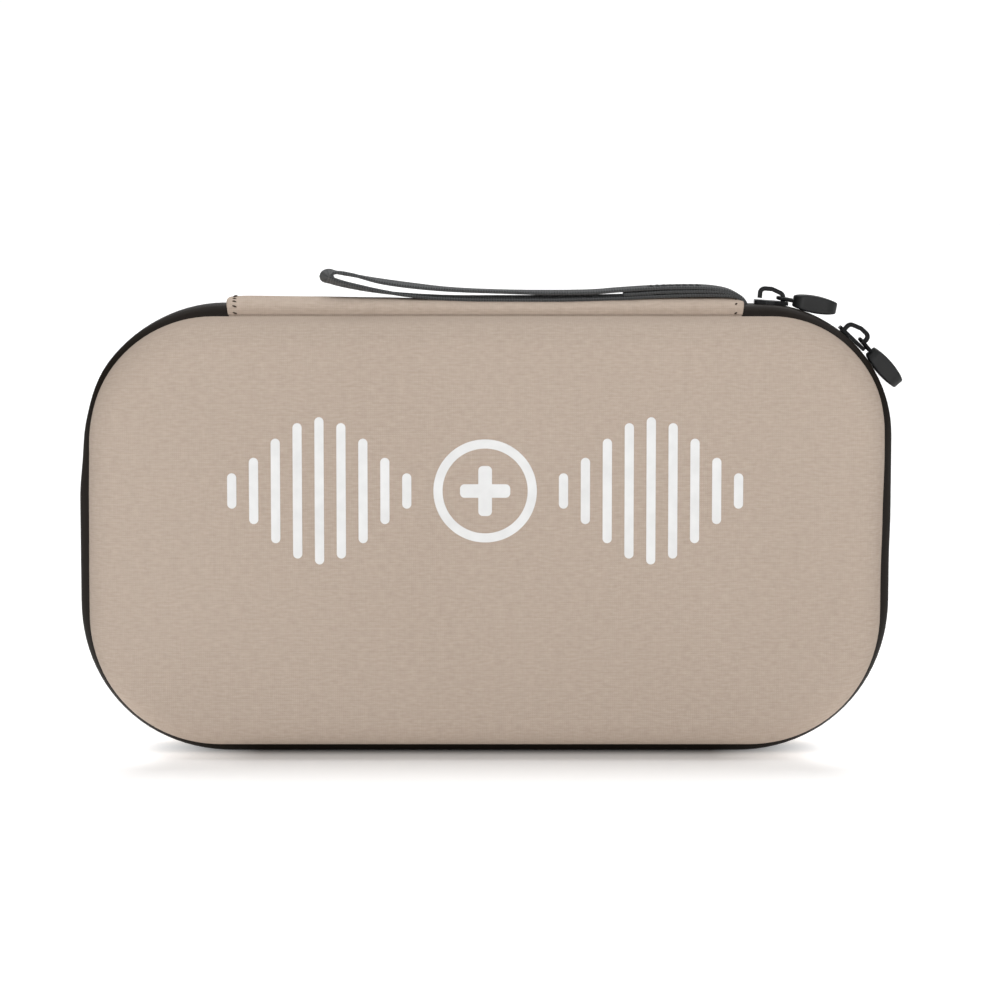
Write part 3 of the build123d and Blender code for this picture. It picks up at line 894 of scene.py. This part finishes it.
def make_net():
    """Knotless net: open hexagons of yarn, with a sewn ribbon round them."""
    ring = rim_outline(POCKET_INSET)
    inside = rim_outline(POCKET_INSET + NET_MARGIN)
    lowest = min(z for _, z, _, _ in inside)
    radius = NET_CELL / math.sqrt(3)
    depth = (net_low.y + net_high.y) / 2
    vertices, index, faces = [], {}, []
    turns = [math.radians(60 * k) for k in range(6)]
    rows = int((net_high.z - lowest) / (1.5 * radius)) + 1
    columns = int((net_high.x - net_low.x) / NET_CELL) + 2
    for row in range(rows):
        z = net_high.z - radius * (1 + 1.5 * row)
        for column in range(columns):
            x = net_low.x + NET_CELL * (column + 0.5 * (row % 2))
            corners = [(x + radius * math.sin(turn), z + radius * math.cos(turn)) for turn in turns]
            spans = [reach_at(inside, max(lowest + YARN, cz)) for _, cz in corners]
            if any(cz < lowest or not left < cx < right for (cx, cz), (left, right) in zip(corners, spans)):
                continue
            face = []
            for cx, cz in corners:
                key = (round(cx / YARN), round(cz / YARN))
                if key not in index:
                    index[key] = len(vertices)
                    vertices.append((cx, depth, cz))
                face.append(index[key])
            faces.append(face)
    cells = add_mesh("pocket_net_cells", vertices, faces)
    yarn = cells.modifiers.new("yarn", "WIREFRAME")
    yarn.thickness = YARN
    yarn.use_boundary = True
    graph = bpy.context.evaluated_depsgraph_get()
    woven = bpy.data.meshes.new_from_object(cells.evaluated_get(graph))
    bpy.data.objects.remove(cells)
    net = finish_piece(add_object("pocket_net", woven), NET_YARN, "front_half", "mesh_pocket_net")

    first = next(k for k in range(len(ring)) if ring[k - 1][1] >= net_high.z > ring[k][1])
    order = [k % len(ring) for k in range(first, first + len(ring)) if ring[k % len(ring)][1] < net_high.z]
    rings = [rim_outline(POCKET_INSET + inset * MM) for inset, _ in RIBBON]
    rows = [[Vector((edge[k][0], net_low.y + deep * MM, edge[k][1]))
             for edge, (_, deep) in zip(rings, RIBBON)] for k in order]
    arc = path_lengths([ring[k] for k in order])
    ribbon = lattice("pocket_net_ribbon", rows, wrap=True, caps=True,
                     uv=lambda i, j: (arc[i], RIBBON[j % len(RIBBON)][0] * MM))
    finish_piece(ribbon, BINDING, "front_half")


def make_hem():
    """Elastic hem over the net's upper edge, gathered a little between its ends."""
    ring = rim_outline(POCKET_INSET)
    wall, height = hem_high.y - hem_low.y, hem_high.z - hem_low.z
    section = []
    for share in HEM_SHARES:
        edge = min(share, 1 - share)
        section.append((0.5 - 0.5 * min(1.0, edge / 0.08) ** 0.5, share))
    section += [(1 - swell, share) for swell, share in reversed(section[1:-1])]
    rows, arc = [], []
    for step in range(HEM_STEPS + 1):
        share_x = step / HEM_STEPS
        row = []
        for swell, share in section:
            z = hem_low.z + share * height
            left, right = reach_at(ring, z)
            x = left + share_x * (right - left)
            phase = 2 * math.pi * x / GATHER_PITCH + 2.1 * math.sin(x * 90)
            ripple = GATHER_DEPTH * (0.5 + 0.5 * math.sin(phase))
            ripple *= (1 - swell) * (0.35 + 0.65 * abs(2 * share - 1))
            row.append(Vector((x, hem_low.y + swell * wall + ripple, z)))
        rows.append(row)
        arc.append(share_x * (hem_high.x - hem_low.x))
    across = path_lengths([(swell * wall, share * height) for swell, share in section])
    across.append(across[-1] + wall / 2)
    hem = lattice("pocket_hem", rows, wrap=True, caps=True, uv=lambda i, j: (arc[i], across[j]))
    finish_piece(hem, ELASTIC, "front_half", "mesh_pocket_hem")
    marks = []
    for height in HEM_SEAMS:
        z = hem_low.z + height
        left, right = reach_at(ring, z)
        for k in range(int((right - left - 2 * MM) / STITCH_PITCH)):
            x = left + 1 * MM + (k + 0.2) * STITCH_PITCH
            ends = [Vector((x + length, hem_low.y + 0.22 * MM, z)) for length in (0, 0.62 * STITCH_PITCH)]
            marks.append((*ends, Vector((0, -1, 0))))
    make_stitches("hem_stitches", marks, 0.4 * MM, THREAD_DARK, "front_half")


def make_holder():
    """Elastic band arched over the rear half's floor, with a sewn patch over each end."""
    half, rise, wall = holder_high.x, holder_high.y - holder_low.y, HOLDER_WALL
    radius = (half ** 2 + rise ** 2) / (2 * rise)
    middle_z = (holder_low.z + holder_high.z) / 2
    section = webbing_section(holder_high.z - holder_low.z, wall)
    rows, arc = [], []
    for step in range(HOLDER_STEPS + 1):
        x = -half + 2 * half * step / HOLDER_STEPS
        angle = math.asin(x / radius)
        out = Vector((math.sin(angle), -math.cos(angle), 0))
        surface = Vector((x, holder_low.y + radius - math.sqrt(radius ** 2 - x ** 2), 0))
        centre = surface - out * wall / 2
        centre.y = min(centre.y, holder_high.y - wall / 2)
        rows.append([centre + Vector((0, 0, middle_z + across)) + out * deep for across, deep in section])
        arc.append(radius * angle)
    across = path_lengths(section)
    across.append(across[-1] + wall / 2)
    band = lattice("elastic_holder", rows, wrap=True, caps=True, uv=lambda i, j: (arc[i], across[j]))
    finish_piece(band, HOLDER, "rear_half", "holding_band")
    tall, wall = (patch_high.z - patch_low.z) / 2, patch_high.y - patch_low.y
    marks = []
    for side, nodes in ((-1, ("holding_band_patches",)), (1, ())):
        centre = Vector((side * (patch_high.x - PATCH_LENGTH / 2), patch_high.y, middle_z))
        rows = []
        for inset, level in PATCH_LEVELS:
            inset *= MM
            loop = rounded_rectangle(PATCH_LENGTH / 2 - inset, tall - inset, PATCH_CORNER - inset)
            rows.append([centre + Vector((x, -level * wall, z)) for x, z in loop])
        name = "holder_patch_" + ("left" if side < 0 else "right")
        patch = lattice(name, rows, wrap=True, caps=True,
                        uv=lambda i, j: (rows[i][j % len(rows[0])].z, rows[i][j % len(rows[0])].x))
        finish_piece(patch, BINDING, "rear_half", *nodes)
        loop = rounded_rectangle(PATCH_LENGTH / 2 - PATCH_SEAM_INSET, tall - PATCH_SEAM_INSET,
                                 PATCH_SEAM_CORNER)
        run = path_lengths(loop + loop[:1])
        for shares in stitch_shares(run[-1]):
            ends = []
            for share in shares:
                at = share * run[-1]
                j = max(i for i in range(len(loop)) if run[i] <= at)
                part = (at - run[j]) / (run[j + 1] - run[j])
                (x0, z0), (x1, z1) = loop[j], (loop + loop[:1])[j + 1]
                ends.append(centre + Vector((x0 + part * (x1 - x0), -wall, z0 + part * (z1 - z0))))
            marks.append((*ends, Vector((0, -1, 0))))
    make_stitches("patch_stitches", marks, 0.45 * MM, THREAD_DARK, "rear_half")


def rounded_rectangle(half_x, half_z, corner):
    """Closed loop of (x, z) points round a rectangle with rounded corners."""
    corner = max(corner, 0.2 * MM)
    loop = []
    for turn in range(4):
        sign_x, sign_z = ((1, 1), (-1, 1), (-1, -1), (1, -1))[turn]
        middle = (sign_x * (half_x - corner), sign_z * (half_z - corner))
        for k in range(7):
            angle = math.radians(90 * turn + 15 * k)
            loop.append((middle[0] + corner * math.cos(angle), middle[1] + corner * math.sin(angle)))
    return loop


# ---------------------------------------------------------------- CAD nodes that keep their shape
def dress(node, material):
    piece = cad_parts[node]
    piece.data.materials.clear()
    piece.data.materials.append(material)
    smooth(piece, 40)


# ---------------------------------------------------------------- printed decoration
INK_WALL = 0.15 * MM
PRINT_CENTRE = 93 * MM
PRINT_STROKE = 3.1 * MM
RING_OUTER = 17.5 * MM
PLUS_SPAN, PLUS_ARM = 17 * MM, 4.6 * MM
BARS_EACH_SIDE = 9
BAR_PITCH, BAR_START = 7.4 * MM, 26.5 * MM
BAR_LOW, BAR_HIGH = 4 * MM, 25 * MM


def make_print(cover):
    """Ring with a plus in it and a row of bars each side, printed on the front's crowned skin."""
    skin = BVHTree.FromPolygons([vertex.co for vertex in cover.data.vertices],
                                [face.vertices for face in cover.data.polygons])
    vertices, faces = [], []

    def on_skin(x, z, out):
        hit = skin.ray_cast(Vector((x, -0.1, z)), Vector((0, 1, 0)))[0]
        return (x, hit.y - out, z)

    def strip(rows, wrap):
        """Rows of (x, z) points across a stroke, inked over the skin and sunk a little into it."""
        first, count = len(vertices), 2 * len(rows[0])
        for row in rows:
            vertices.extend(on_skin(x, z, INK_WALL) for x, z in row)
            vertices.extend(on_skin(x, z, -INK_WALL / 2) for x, z in reversed(row))
        spans = len(rows) if wrap else len(rows) - 1
        for i in range(spans):
            a, b = first + i * count, first + (i + 1) % len(rows) * count
            for j in range(count):
                k = (j + 1) % count
                faces.append((a + j, a + k, b + k, b + j))
        if not wrap:
            faces.append(tuple(first + j for j in range(count - 1, -1, -1)))
            faces.append(tuple(first + (len(rows) - 1) * count + j for j in range(count)))

    def bar(x, half):
        radius, rows, steps = PRINT_STROKE / 2, [], 12
        ends = [radius * (1 - math.cos(math.radians(angle))) for angle in (4, 15, 30, 45, 60, 75, 90)]
        heights = [-half + end for end in ends] + [half - end for end in reversed(ends)]
        heights[len(ends):len(ends)] = [(half - radius) * (2 * k / steps - 1) for k in range(1, steps)]
        for height in heights:
            rest = max(0.0, abs(height) - half + radius)
            wide = math.sqrt(max(0.0, radius ** 2 - rest ** 2))
            rows.append([(x + share * wide, PRINT_CENTRE + height) for share in (-1, -0.5, 0, 0.5, 1)])
        strip(rows, wrap=False)

    turn = [2 * math.pi * k / 96 for k in range(96)]
    radii = [RING_OUTER - share * PRINT_STROKE for share in (0, 0.5, 1)]
    strip([[(radius * math.sin(a), PRINT_CENTRE + radius * math.cos(a)) for radius in radii] for a in turn],
          wrap=True)
    plus_outline = []
    arm, span, corner = PLUS_ARM / 2, PLUS_SPAN / 2, PLUS_ARM / 3
    for quarter in range(4):
        turned = math.pi / 2 * quarter
        local = [(arm, arm), (arm, span - corner)]
        rounds = [(corner * math.cos(math.radians(a)), corner * math.sin(math.radians(a)))
                  for a in (0, 18, 36, 54, 72, 90)]
        local += [(arm - corner + near, span - corner + far) for near, far in rounds[1:]]
        local += [(corner - arm - far, span - corner + near) for near, far in rounds[:-1]]
        local.append((-arm, span - corner))
        for x, z in local:
            plus_outline.append((x * math.cos(turned) - z * math.sin(turned),
                                 PRINT_CENTRE + x * math.sin(turned) + z * math.cos(turned)))
    first, count = len(vertices), len(plus_outline)
    vertices.extend(on_skin(x, z, INK_WALL) for x, z in plus_outline)
    vertices.extend(on_skin(x, z, -INK_WALL / 2) for x, z in plus_outline)
    faces.append(tuple(first + j for j in range(count)))
    faces.append(tuple(first + count + j for j in range(count - 1, -1, -1)))
    for j in range(count):
        k = (j + 1) % count
        faces.append((first + j, first + count + j, first + count + k, first + k))
    for sign in (-1, 1):
        for index in range(BARS_EACH_SIDE):
            swell = math.sin(math.pi * (index + 1) / (BARS_EACH_SIDE + 1)) ** 2
            bar(sign * (BAR_START + BAR_PITCH * index), BAR_LOW + (BAR_HIGH - BAR_LOW) * swell)
    return finish_piece(add_mesh("front_print_ink", vertices, faces), INK, "front_half", "front_print")


# ---------------------------------------------------------------- scene around the case
FLOOR_RADIUS = 7.0
STAGE_SPOKES = 96
# the cyclorama from the floor up: radius and height in metres
STAGE_WALL = ((FLOOR_RADIUS, -0.01), (FLOOR_RADIUS, 4), (4, 7), (0.01, 8))
STAGE_GLOW = 1.03
# The floor glows a little, and less under and behind the case, which paints the case's shadow on it (painted
# shadow, with painted light past its ends): a strip near its foot, the open floor and the floor past its
# ends.  Glows are strengths, the rest metres from the middle.
NEAR_GLOW, NEAR_FROM, NEAR_TO = 0.16, 0.008, 0.016
FADE_FROM, FADE_TO = 0.021, 0.030
FAR_GLOW, FAR_FROM, FAR_TO = 0.36, 0.008, 0.080
BESIDE_FROM, BESIDE_TO = 0.095, 0.130
END_GLOW, END_FROM, END_TO = 0.62, 0.078, 0.122
END_FADE_FROM, END_FADE_TO = 0.14, 0.20
END_SIDE_FROM, END_SIDE_TO = 0.012, 0.042
WORLD_LIGHT = 0.42
WORLD_SIDE_LIGHT = 0.05
WORLD_SIDE_FROM, WORLD_SIDE_TO = 0.2, 0.8
CAMERA_DISTANCE = 1.2
CAMERA_ELEVATION = 6.0
FOCAL_PIXELS = 3459.5
IMAGE_SIZE = 1000
RING_CENTRE_PIXEL = (485.5, 527.3)
SENSOR = 36.0


def make_stage():
    """White floor whose uneven glow paints the case's shadow, and a white cyclorama all round that only
    closes the view and lights nothing.
    """
    turns = [2 * math.pi * k / STAGE_SPOKES for k in range(STAGE_SPOKES)]

    def surface(name, levels):
        rows = [[Vector((radius * math.cos(a), radius * math.sin(a), z)) for a in turns]
                for radius, z in levels]
        return lattice(name, rows, wrap=True)

    floor = surface("floor", ((0.00001, 0), (1, 0), (FLOOR_RADIUS, 0)))
    shader = Shader("floor_painted_shadow_glow", "stage")
    place = shader.coordinates("Object")
    grain = shader.noise(place, 900.0)
    across, ahead = (shader.math("ABSOLUTE", part) for part in shader.split(place)[:2])
    near = shader.remap(ahead, NEAR_FROM, NEAR_TO, 0.0, NEAR_GLOW)
    near = shader.math("MULTIPLY", near, shader.remap(ahead, FADE_FROM, FADE_TO, 1.0, 0.0))
    far = shader.math("MAXIMUM", shader.remap(ahead, FAR_FROM, FAR_TO, 0.0, FAR_GLOW),
                      shader.remap(across, BESIDE_FROM, BESIDE_TO, 0.0, FAR_GLOW))
    end = shader.remap(across, END_FROM, END_TO, 0.0, END_GLOW)
    end = shader.math("MULTIPLY", end, shader.remap(across, END_FADE_FROM, END_FADE_TO, 1.0, 0.0))
    end = shader.math("MULTIPLY", end, shader.remap(ahead, END_SIDE_FROM, END_SIDE_TO, 1.0, 0.0))
    # The emission strength, low near the case and high past its ends, is the painted shadow and painted light
    # on the floor.
    shader.set(Base_Color=(0.88, 0.88, 0.88), Roughness=0.95, Specular_IOR_Level=0.1,
               Emission_Color=(1, 1, 1), Emission_Strength=shader.total((near, 1), (far, 1), (end, 1)),
               Normal=shader.bump(grain, 0.02 * MM, 0.2))
    floor.data.materials.append(shader.material)
    wall = surface("cyclorama", STAGE_WALL)
    shader = Shader("cyclorama_glow", "stage")
    shader.set(Base_Color=(0, 0, 0), Roughness=1.0, Specular_IOR_Level=0.0, Emission_Color=(1, 1, 1),
               Emission_Strength=STAGE_GLOW)
    wall.data.materials.append(shader.material)
    wall.visible_diffuse = False
    wall.visible_glossy = False
    wall.visible_shadow = False
    wall.visible_transmission = False


def make_world():
    """Even light from all round, weaker from the sides."""
    world = bpy.data.worlds.new("studio")
    bpy.context.scene.world = world
    world.use_nodes = True
    sky = Nodes(world.node_tree)
    sideways = sky.split(sky.node("ShaderNodeTexCoord").outputs["Generated"])[0]
    light = sky.remap(sky.math("ABSOLUTE", sideways), WORLD_SIDE_FROM, WORLD_SIDE_TO,
                      WORLD_LIGHT, WORLD_SIDE_LIGHT)
    background = sky.tree.nodes["Background"]
    sky.put(background.inputs["Color"], (1, 1, 1))
    sky.put(background.inputs["Strength"], light)


def aim(thing, target):
    direction = (Vector(target) - thing.location).normalized()
    thing.rotation_euler = direction.to_track_quat("-Z", "Y").to_euler()


def make_camera():
    data = bpy.data.cameras.new("camera")
    data.sensor_width = SENSOR
    data.lens = SENSOR * FOCAL_PIXELS / IMAGE_SIZE
    camera = add_object("camera", data)
    tilt = math.radians(CAMERA_ELEVATION)
    scale = FOCAL_PIXELS / CAMERA_DISTANCE
    off_x = (IMAGE_SIZE / 2 - RING_CENTRE_PIXEL[0]) / scale
    off_z = (RING_CENTRE_PIXEL[1] - IMAGE_SIZE / 2) / scale
    target = Vector((off_x, 0, BAND_TOP / 2 + off_z / math.cos(tilt)))
    camera.location = target + CAMERA_DISTANCE * Vector((0, -math.cos(tilt), math.sin(tilt)))
    aim(camera, target)
    bpy.context.scene.camera = camera


def add_light(name, location, target, size, power):
    data = bpy.data.lights.new(name, "AREA")
    data.size = size
    data.energy = power
    light = add_object(name, data)
    light.location = location
    aim(light, target)


def add_sun(name, elevation, azimuth, spread, strength):
    """Large soft overhead source, far away so that it lights the whole floor evenly."""
    data = bpy.data.lights.new(name, "SUN")
    data.angle = math.radians(spread)
    data.energy = strength
    sun = add_object(name, data)
    turn, rise = math.radians(azimuth), math.radians(elevation)
    sun.location = (2 * math.cos(rise) * math.sin(turn), -2 * math.cos(rise) * math.cos(turn),
                    2 * math.sin(rise))
    aim(sun, (0, 0, 0))


# ---------------------------------------------------------------- the model
make_camera()
make_stage()
make_world()
add_light("key", (-0.35, -2.35, 0.32), target=(0, 0, 0.08), size=1.0, power=22)
add_light("edge", (0.9, -0.4, 0.9), target=(0.08, 0, 0.14), size=0.35, power=1.2)
add_sun("overhead", elevation=82, azimuth=180, spread=78, strength=2.1)
bpy.context.scene.view_settings.view_transform = "Standard"

for half, side in (("front", FRONT), ("rear", REAR)):
    body = half + "_half"
    cover = make_layer(half + "_cover_fabric", side, 0.0, COVER_WALL, COVER, body, half + "_cover")
    make_layer(half + "_foam", side, COVER_WALL, COVER_WALL + FOAM_WALL, FOAM, body, half + "_shell")
    make_layer(half + "_lining_knit", side, COVER_WALL + FOAM_WALL, WALL_STACK, LINING, body,
               half + "_lining")
    make_binding(half + "_rim_ribbon", side, body, half + "_edge_binding")
    make_tape(half + "_tape", side, body, half + "_zipper_tape")
    make_coil(half + "_coil", side, body, half + "_zipper_coil")
    if side == FRONT:
        make_print(cover)
make_spine()
make_crease("front_crease", FRONT)
make_crease("rear_crease", REAR)
make_spine_stitches()
make_strap()
make_strap_stitches()
dress("spine_padding", PADDING)
dress("spine_lining", SPINE_LINING)
for slider in ("upper", "lower"):
    for part in ("_slider_body", "_slider_bridge", "_pull_link"):
        dress(slider + part, METAL)
    dress(slider + "_pull_grip", RUBBER)
make_net()
make_hem()
make_holder()
